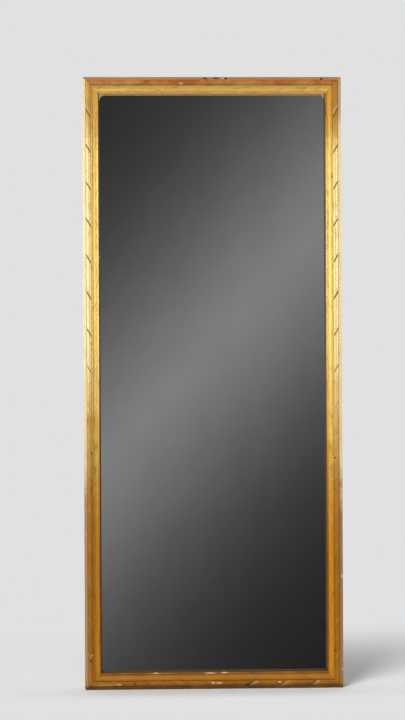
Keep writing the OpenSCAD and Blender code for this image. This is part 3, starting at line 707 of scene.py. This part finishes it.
def carved_member(node, length, marks, place_in_frame, seed, lip_w):
    """One carved and gilt member of the frame, mitred at both ends. Marks are its ribbons: place,
    lean, and how far the cuts are open and soiled, which also sets how dark their painted shade and
    how bright the painted highlight above them are. lip_w is the width of the line along its sight
    edge that is toned and darkened as painted shade, and drawn pale on the top rail."""
    size = bpy.context.scene.pier_moulding
    rng = np.random.default_rng(seed)
    points, face_count, bead_u, quirk_v = moulding_section(size)
    normals = section_normals(points)
    stand, run_place = relief(points, 2.2 * MM)
    count = len(points)

    ribbons = [
        (at + rng.uniform(-1, 1) * MM, lean, rng.uniform(0.75, 1.1), soil_and_shading)
        for at, lean, soil_and_shading in marks
    ]
    losses = [(*(value * MM for value in sizes), kind) for *sizes, kind in LOSSES[node]]
    features = [(at, 6 * MM, 0.6 * MM) for at, _, _, _ in ribbons]
    features += [(at, long, 0.7 * MM) for at, _, long, _, _, _ in losses]
    features += [(0.0, 2 * MM, 1.2 * MM), (length, 2 * MM, 1.2 * MM)]
    places = ring_places(length, features)

    piece, ring, column = wrap_grid("gilt_" + node, len(places), count)
    column = column % count
    along = places[ring]
    u = points[column, 0]
    v = points[column, 1]
    face = (column < face_count).astype(float)

    # The rings lean into the mitres at both ends, and with the ribbons between them.
    reach = 130 * MM
    shift = u * (1 - smooth(along, 0.0, reach)) - u * (1 - smooth(length - along, 0.0, reach))
    slope = math.tan(math.pi / 2 - size.ribbon_angle)
    half = size.bead_w / 2
    across = np.clip(u - bead_u, -half, half)
    inwards = smooth(u, bead_u + half, FACE_W - 6 * MM)
    across = across * smooth(u, 0.0, size.flat_w) * (1 - inwards) * face
    carve = np.zeros(len(u))
    cut = np.zeros(len(u))
    ridge_highlight = np.zeros(len(u))
    bead = (1 - smooth(np.abs(u - bead_u), half - 1.2 * MM, half)) * face
    for at, lean, depth, soil_and_shading in ribbons:
        window = 1 - smooth(np.abs(along - at), 11 * MM, 40 * MM)
        shift -= lean * slope * across * window
        square = np.abs(along - at) * math.sin(size.ribbon_angle)
        groove = np.abs(square - size.ribbon_w / 2) / (size.cut_w / 2)
        groove = np.clip(1 - groove, 0.0, 1.0)
        ribbon = 1 - smooth(square, size.ribbon_w / 2 - 0.4 * MM, size.ribbon_w / 2)
        sunk = groove * size.cut_d * depth * (0.5 + 0.5 * soil_and_shading)
        carve += (sunk + ribbon * 0.25 * MM) * bead
        # The cuts and the ribbon between them are darkened: dirt, and painted shade of the cuts
        cut_darkening = np.maximum(np.clip(1.25 * groove, 0.0, 1.0), 0.75 * ribbon)
        cut = np.maximum(cut, cut_darkening * bead * soil_and_shading)
        # A painted highlight on the bead just above each ribbon
        ridge_highlight += np.exp(-(((along - at - 13 * MM) / (8 * MM)) ** 2)) * bead * soil_and_shading

    # The surface wavers, lies lower in the cuts and is gone in the losses.
    settled = smooth(along, 2 * MM, 30 * MM) * smooth(length - along, 2 * MM, 30 * MM)
    uneven = ripple(rng, along, run_place[column], 0.11)
    uneven = uneven + 0.5 * ripple(rng, along, run_place[column], 0.018)
    moved = (-0.62 + 0.42 * np.clip(uneven, -1.4, 1.4) * settled) * size.waver * face
    moved = moved - carve
    loss = np.zeros(len(u))
    bare = np.zeros(len(u))
    for at, across_at, long, wide, deep, kind in losses:
        rough = 0.3 * ripple(rng, along, u * 3, 3 * MM, 5)
        gone = np.hypot((along + shift - at) / long, (u - across_at) / wide) + rough
        hole = (1 - smooth(gone, 0.75, 1.05)) * face
        moved -= hole * deep
        if kind == "loss":
            loss = np.maximum(loss, hole)
        else:
            bare = np.maximum(bare, hole)

    straight = u
    u = u + moved * normals[column, 0]
    v = v + moved * normals[column, 1]
    x, y, z = place_in_frame(u, v, along + shift)
    x, z = worn_corners(x, z, size.worn_corner_r)
    mesh = piece.data
    mesh.vertices.foreach_set("co", np.stack([x, y, z], axis=1).astype(np.float32).ravel())

    # Where the finish wears, and where shade and highlights are painted on it
    crest = smooth(stand, 0.05 * MM, 0.4 * MM)[column] * (1 - cut)
    hollow = smooth(-stand, 0.08 * MM, 0.7 * MM)[column] * face
    flat = (1 - smooth(straight, size.flat_w - 0.5 * MM, size.flat_w + 0.5 * MM)) * face
    bead = (1 - smooth(np.abs(straight - bead_u), half, half + 0.8 * MM)) * face * (1 - flat)
    sight_from = FACE_W - 2 * size.sight_bead_r
    sight_bead = smooth(straight, sight_from - 0.8 * MM, sight_from + 0.4 * MM)
    bead = np.maximum(bead, 0.6 * sight_bead * face)
    lip = smooth(straight, FACE_W - lip_w - 0.6 * MM, FACE_W - lip_w + 0.6 * MM) * face
    side = (1 - smooth(v, quirk_v - 3 * MM, quirk_v - 1 * MM)) * (straight < 1e-6)
    side = np.maximum(side, 1 - face)
    for name, value in zip(WEAR_AND_SHADING, (crest, hollow, cut, ridge_highlight, bead, flat, lip, loss, bare, side)):
        layer = mesh.attributes.new(name, "FLOAT", "POINT")
        layer.data.foreach_set("value", value.astype(np.float32))

    total = run_place[-1] + np.linalg.norm(points[0] - points[-1])
    map_run(mesh, along, np.append(run_place, total))
    close_shell()
    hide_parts(node)
    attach(piece, "mirror")
    return piece


def on_left(u, v, along):
    return LEFT + u, BACK_Y - v, along


def on_right(u, v, along):
    return RIGHT - u, BACK_Y - v, along


def on_bottom(u, v, along):
    return LEFT + along, BACK_Y - v, u


def on_top(u, v, along):
    return LEFT + along, BACK_Y - v, TOP - u


# ---------------------------------------------------------------- operators


class PIER_OT_stiles(bpy.types.Operator):
    """Carve and gild the two stiles"""

    bl_idname = "pier.stiles"
    bl_label = "Gilt stiles"

    def execute(self, context):
        look = context.scene.pier_gilding
        size = context.scene.pier_moulding
        places = np.linspace(size.stile_first, TOP - size.stile_last, 16)
        # Higher ribbons get deeper cuts, darker with dirt and painted shade,
        # and a brighter painted highlight above them
        soil_and_shading_levels = 0.2 + 0.8 * smooth(places, 0.7, 1.05)
        marks = [(at, 1, soil_and_shading) for at, soil_and_shading in zip(places, soil_and_shading_levels)]
        for node, place, seed, crown, outer in (
            ("left_stile", on_left, 11, 0.45, 0.0),
            ("right_stile", on_right, 12, 0.8, 0.15),
        ):
            piece = carved_member(node, TOP, marks, place, seed, 3.2 * MM)
            # Pale where the side lamps' highlight falls, darker below it and at the crown:
            # partly painted highlight and painted shade
            finish = gilding(
                node + "_gilding", ages_and_shade=(0.0, 1.0), crown=crown, beads=(0.12, 0.6), hollows=0.0,
                outer=outer, soil_and_shading=(0.15, 0.35), bole=look.bole, lip_colour=look.lip,
            )
            piece.data.materials.append(finish)
        return {"FINISHED"}


class PIER_OT_rails(bpy.types.Operator):
    """Carve and gild the two rails"""

    bl_idname = "pier.rails"
    bl_label = "Gilt rails"

    def execute(self, context):
        look = context.scene.pier_gilding
        width = RIGHT - LEFT
        leans = (1, 1, 1, 1, -1, -1, -1)
        places = (86.5, 177.5, 268, 359, 450, 540.5, 631.5)
        marks = [(at * MM, lean, 0.1) for at, lean in zip(places, leans)]
        top = carved_member("top_rail", width, marks, on_top, 13, 1.0 * MM)
        # Top rail: red bole on bead and outer flat, darker partly as painted shade where they face
        # up,
        # dirt and painted shade in its hollows, and a sight edge pale from gesso and painted light
        # from below
        finish = gilding(
            "top_gilding", ages_and_shade=(0.3, 0.3), crown=0.0, beads=(0.9, 0.9), hollows=0.0,
            outer=0.9, soil_and_shading=(0.5, 0.5), bole=look.red_bole, lip_colour=look.gesso,
        )
        top.data.materials.append(finish)

        places = (71.5, 177.5, 253, 346, 456, 544.5, 636.5)
        soil_and_shading_levels = (0.3, 0.3, 0.3, 0.3, 1.0, 0.9, 0.9)
        marks = [(at * MM, lean, soil_and_shading) for at, lean, soil_and_shading in zip(places, leans, soil_and_shading_levels)]
        bottom = carved_member("bottom_rail", width, marks, on_bottom, 14, 1.2 * MM)
        # Bottom rail: toned leaf and bole in its hollows, darker partly as painted shade below the
        # lamps,
        # and dirt and painted shade in its hollows and cuts
        finish = gilding(
            "bottom_gilding", ages_and_shade=(1.0, 1.0), crown=0.0, beads=(0.75, 0.75), hollows=0.5,
            outer=0.35, soil_and_shading=(0.4, 0.4), bole=look.bole, lip_colour=look.lip,
        )
        bottom.data.materials.append(finish)
        return {"FINISHED"}


class PIER_OT_corners(bpy.types.Operator):
    """Finish the mitre keys and the hollow corner pieces"""

    bl_idname = "pier.corners"
    bl_label = "Corner pieces and mitre keys"

    def execute(self, context):
        pale = corner_gesso("corner_gesso")
        for node in ("corner_piece_left", "corner_piece_right"):
            dress(node, pale)
        look = context.scene.pier_back
        key = wood("key_wood", look.pine, look.pine_grain, 0)
        for corner in ("top_left", "top_right", "bottom_left", "bottom_right"):
            dress("mitre_key_" + corner, key)
        return {"FINISHED"}


class PIER_OT_plate(bpy.types.Operator):
    """Silver the plate and paint its back"""

    bl_idname = "pier.plate"
    bl_label = "Mirror plate"

    def execute(self, context):
        dress("mirror_glass", silvered_plate("mirror_plate"))
        dress("mirror_silvering", backing_paint("backing_paint"))
        return {"FINISHED"}


class PIER_OT_packing(bpy.types.Operator):
    """Finish the blocks and slips that hold the plate"""

    bl_idname = "pier.packing"
    bl_label = "Blocks and slips"

    def execute(self, context):
        look = context.scene.pier_back
        block = wood("block_wood", look.block, look.pine_grain, 2, 40.0)
        for node in ("glazing_blocks", "edge_slips", "setting_blocks"):
            dress(node, block)
        return {"FINISHED"}


class PIER_OT_back(bpy.types.Operator):
    """Finish the framed back, its panels and its pegs"""

    bl_idname = "pier.back"
    bl_label = "Framed back"

    def execute(self, context):
        look = context.scene.pier_back
        grain = look.pine_grain
        for index, side in enumerate(("left", "right")):
            shift = (0.3 * index, 0.1, 0.2)
            pine = wood("stile_pine_" + side, look.pine, grain, 2, shift=shift)
            dress("back_stile_" + side, pine)
        for index, rail in enumerate(("bottom", "lower", "upper", "top")):
            shift = (0.1, 0.4 * index, 0.7)
            pine = wood("rail_pine_" + rail, look.pine, grain, 0, shift=shift)
            dress("back_rail_" + rail, pine)
        for index, panel in enumerate(("bottom", "middle", "top")):
            shift = (0.5 * index, 0.2, 0.9)
            pine = wood("panel_pine_" + panel, look.panel, grain, 2, 34.0, shift)
            dress("back_panel_" + panel, pine)
        dress("tenon_pegs", wood("peg_oak", look.oak, look.oak_grain, 1, 60.0))
        return {"FINISHED"}


class PIER_OT_iron(bpy.types.Operator):
    """Finish the screws, straps and rings"""

    bl_idname = "pier.iron"
    bl_label = "Screws and hangers"

    def execute(self, context):
        look = context.scene.pier_back
        steel = old_iron("screw_steel", look.steel, 0.62)
        iron = old_iron("hanger_iron", look.iron, 0.55)
        for node in ("back_screws", "hanger_screws"):
            dress(node, steel)
        for side in ("left", "right"):
            dress("hanger_strap_" + side, iron)
            dress("hanger_ring_" + side, iron)
        return {"FINISHED"}


class PIER_OT_stage(bpy.types.Operator):
    """Set up the floor, the backdrop, the lamps and the camera"""

    bl_idname = "pier.stage"
    bl_label = "Stage"

    def execute(self, context):
        look = context.scene.pier_stage
        context.scene.view_settings.view_transform = "Standard"
        self.floor(look)
        self.room(context, look)
        self.soft_light(context, "sky_light", 2.35, 26, (0.44, 0.47, -0.77))
        self.soft_light(context, "room_light", 0.85, 90, (-0.05, 0.98, -0.1))
        self.soft_light(context, "floor_bounce", 1.45, 130, (0.0, 0.75, 0.66))
        self.side_panel(context, "left_panel", (-1.05, -1.0, 1.36), 9.0)
        self.side_panel(context, "right_panel", (1.2, -1.0, 1.36), 7.5)
        self.camera(context, look)
        return {"FINISHED"}

    def floor(self, look):
        """A sweep of floor that fades into the backdrop all round, and ends short of what the
        plate shows."""
        deselect()
        bpy.ops.mesh.primitive_plane_add(size=1.0, location=(0.0, 1.925, 0.0))
        floor = bpy.context.object
        floor.name = "studio_floor"
        floor.scale = (6.4, 4.15, 1.0)
        bpy.ops.object.transform_apply(location=True, rotation=True, scale=True)
        fin = Finish("studio_floor")
        grain = fin.noise(fin.place, 900.0, 2.0, 0.5)
        normal = fin.bump(grain, 0.1 * MM, 0.2)
        fin.set(Base_Color=look.floor, Roughness=1.0, Specular_IOR_Level=0.0, Normal=normal)
        place = fin.add("ShaderNodeSeparateXYZ", {"Vector": fin.place}).outputs
        behind = fin.step(place["Y"], 0.08, 0.75)
        fade = fin.math("MAXIMUM", behind, fin.step(place["Y"], -0.04, -0.12))
        fade = fin.math("MAXIMUM", fade, fin.step(fin.math("ABSOLUTE", place["X"]), 0.6, 1.2))
        glow = fin.add("ShaderNodeEmission", {"Color": look.backdrop, "Strength": 1.0})
        glow = glow.outputs["Emission"]
        inputs = {0: fade, 1: fin.surface.outputs["BSDF"], 2: glow}
        shader = fin.add("ShaderNodeMixShader", inputs).outputs["Shader"]
        fin.feed(fin.tree.nodes["Material Output"].inputs["Surface"], shader)
        floor.data.materials.append(fin.material)

    def room(self, context, look):
        """Light of the room: a pale backdrop behind the mirror, and before it a room with one dim
        end."""
        world = bpy.data.worlds.new("studio_room")
        world.use_nodes = True
        context.scene.world = world
        room = Nodes(world.node_tree)
        direction = room.add("ShaderNodeTexCoord").outputs["Generated"]
        axis = room.add("ShaderNodeSeparateXYZ", {"Vector": direction}).outputs
        x, y, z = axis["X"], axis["Y"], axis["Z"]

        # A soft slanting band of light crosses the dim end of the room, and the plate shows it. Its
        # light falls off with the distance from its middle, and is a little less to one side.
        middle, half_width, softness = 0.0096, 0.1038, 1.57
        dim, bright, lean = 0.0211, 0.2269, -0.0124
        off = room.math("MULTIPLY", x, 0.7215)
        off = room.math("SUBTRACT", off, room.math("MULTIPLY", z, 0.6946))
        off = room.math("SUBTRACT", off, middle)
        band = room.math("DIVIDE", room.math("ABSOLUTE", off), half_width)
        band = room.math("MULTIPLY", room.math("POWER", band, softness), -1.0)
        band = room.math("MULTIPLY", room.math("EXPONENT", band), bright)
        band = room.math("ADD", room.math("ADD", band, dim), room.math("MULTIPLY", off, lean))

        aside = room.step(room.math("ABSOLUTE", x), 0.25, 0.5)
        light = room.mix(aside, band, grey(0.08))
        light = room.mix(room.step(z, 0.35, 0.8), light, grey(0.1))
        light = room.mix(room.step(z, -0.5, -0.85), light, grey(0.3))
        light = room.mix(room.step(y, -0.15, 0.3), light, look.backdrop)
        seen = room.add("ShaderNodeLightPath").outputs["Is Camera Ray"]
        light = room.mix(seen, light, look.backdrop)
        room.feed(room.tree.nodes["Background"].inputs["Color"], light)

    def soft_light(self, context, name, energy, spread, aim):
        """Broad light from far off, which shows in no gloss. Spread is its width in degrees."""
        data = bpy.data.lights.new(name, "SUN")
        data.energy = energy
        data.angle = math.radians(spread)
        light = bpy.data.objects.new(name, data)
        context.scene.collection.objects.link(light)
        light.rotation_euler = Vector(aim).to_track_quat("-Z", "Y").to_euler()
        light.visible_glossy = False

    def side_panel(self, context, name, place, radiance):
        """A soft panel before and beside the upper part of the frame. The gilding shows it, and the
        plate is left out of its light."""
        data = bpy.data.lights.new(name, "AREA")
        data.shape = "RECTANGLE"
        data.size, data.size_y = 0.85, 0.74
        data.energy = radiance * math.pi * data.size * data.size_y
        panel = bpy.data.objects.new(name, data)
        context.scene.collection.objects.link(panel)
        panel.location = place
        aim = Vector((place[0] * 0.35, 0.0, place[2])) - Vector(place)
        panel.rotation_euler = aim.to_track_quat("-Z", "Y").to_euler()
        panel.visible_camera = False
        panel.visible_diffuse = False
        unlit = bpy.data.collections.new(name + "_unlit")
        unlit.objects.link(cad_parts["mirror_glass"])
        unlit.collection_objects[0].light_linking.link_state = "EXCLUDE"
        panel.light_linking.receiver_collection = unlit

    def camera(self, context, look):
        """The camera, at the photograph's place and angle."""
        data = bpy.data.cameras.new("camera")
        data.sensor_width = 36.0
        data.lens = look.lens
        camera = bpy.data.objects.new("camera", data)
        context.scene.collection.objects.link(camera)
        camera.location = (look.camera_x, look.camera_y, look.camera_z)
        camera.rotation_euler = (math.pi / 2, look.roll, look.yaw)
        context.scene.camera = camera


class PIER_PT_panel(bpy.types.Panel):
    """The mirror's pieces and finishes"""

    bl_idname = "PIER_PT_panel"
    bl_label = "Pier mirror"
    bl_space_type = "VIEW_3D"
    bl_region_type = "UI"
    bl_category = "Pier mirror"

    def draw(self, context):
        for operator in PIECES:
            self.layout.operator(operator.bl_idname)
        for name in SETTINGS:
            group = getattr(context.scene, name)
            box = self.layout.box()
            for key in group.__annotations__:
                box.prop(group, key)


PIECES = (
    PIER_OT_stiles, PIER_OT_rails, PIER_OT_corners, PIER_OT_plate, PIER_OT_packing, PIER_OT_back,
    PIER_OT_iron, PIER_OT_stage,
)
SETTINGS = {
    "pier_moulding": MouldingSettings,
    "pier_gilding": GildingSettings,
    "pier_plate": PlateSettings,
    "pier_back": BackSettings,
    "pier_stage": StageSettings,
}


def register():
    for group in SETTINGS.values():
        bpy.utils.register_class(group)
    for name, group in SETTINGS.items():
        setattr(bpy.types.Scene, name, bpy.props.PointerProperty(type=group))
    for operator in PIECES:
        bpy.utils.register_class(operator)
    bpy.utils.register_class(PIER_PT_panel)


def unregister():
    bpy.utils.unregister_class(PIER_PT_panel)
    for operator in reversed(PIECES):
        bpy.utils.unregister_class(operator)
    for name in SETTINGS:
        delattr(bpy.types.Scene, name)
    for group in reversed(SETTINGS.values()):
        bpy.utils.unregister_class(group)


def main():
    register()
    for operator in PIECES:
        group, name = operator.bl_idname.split(".")
        getattr(getattr(bpy.ops, group), name)()


if __name__ == "__main__":
    main()
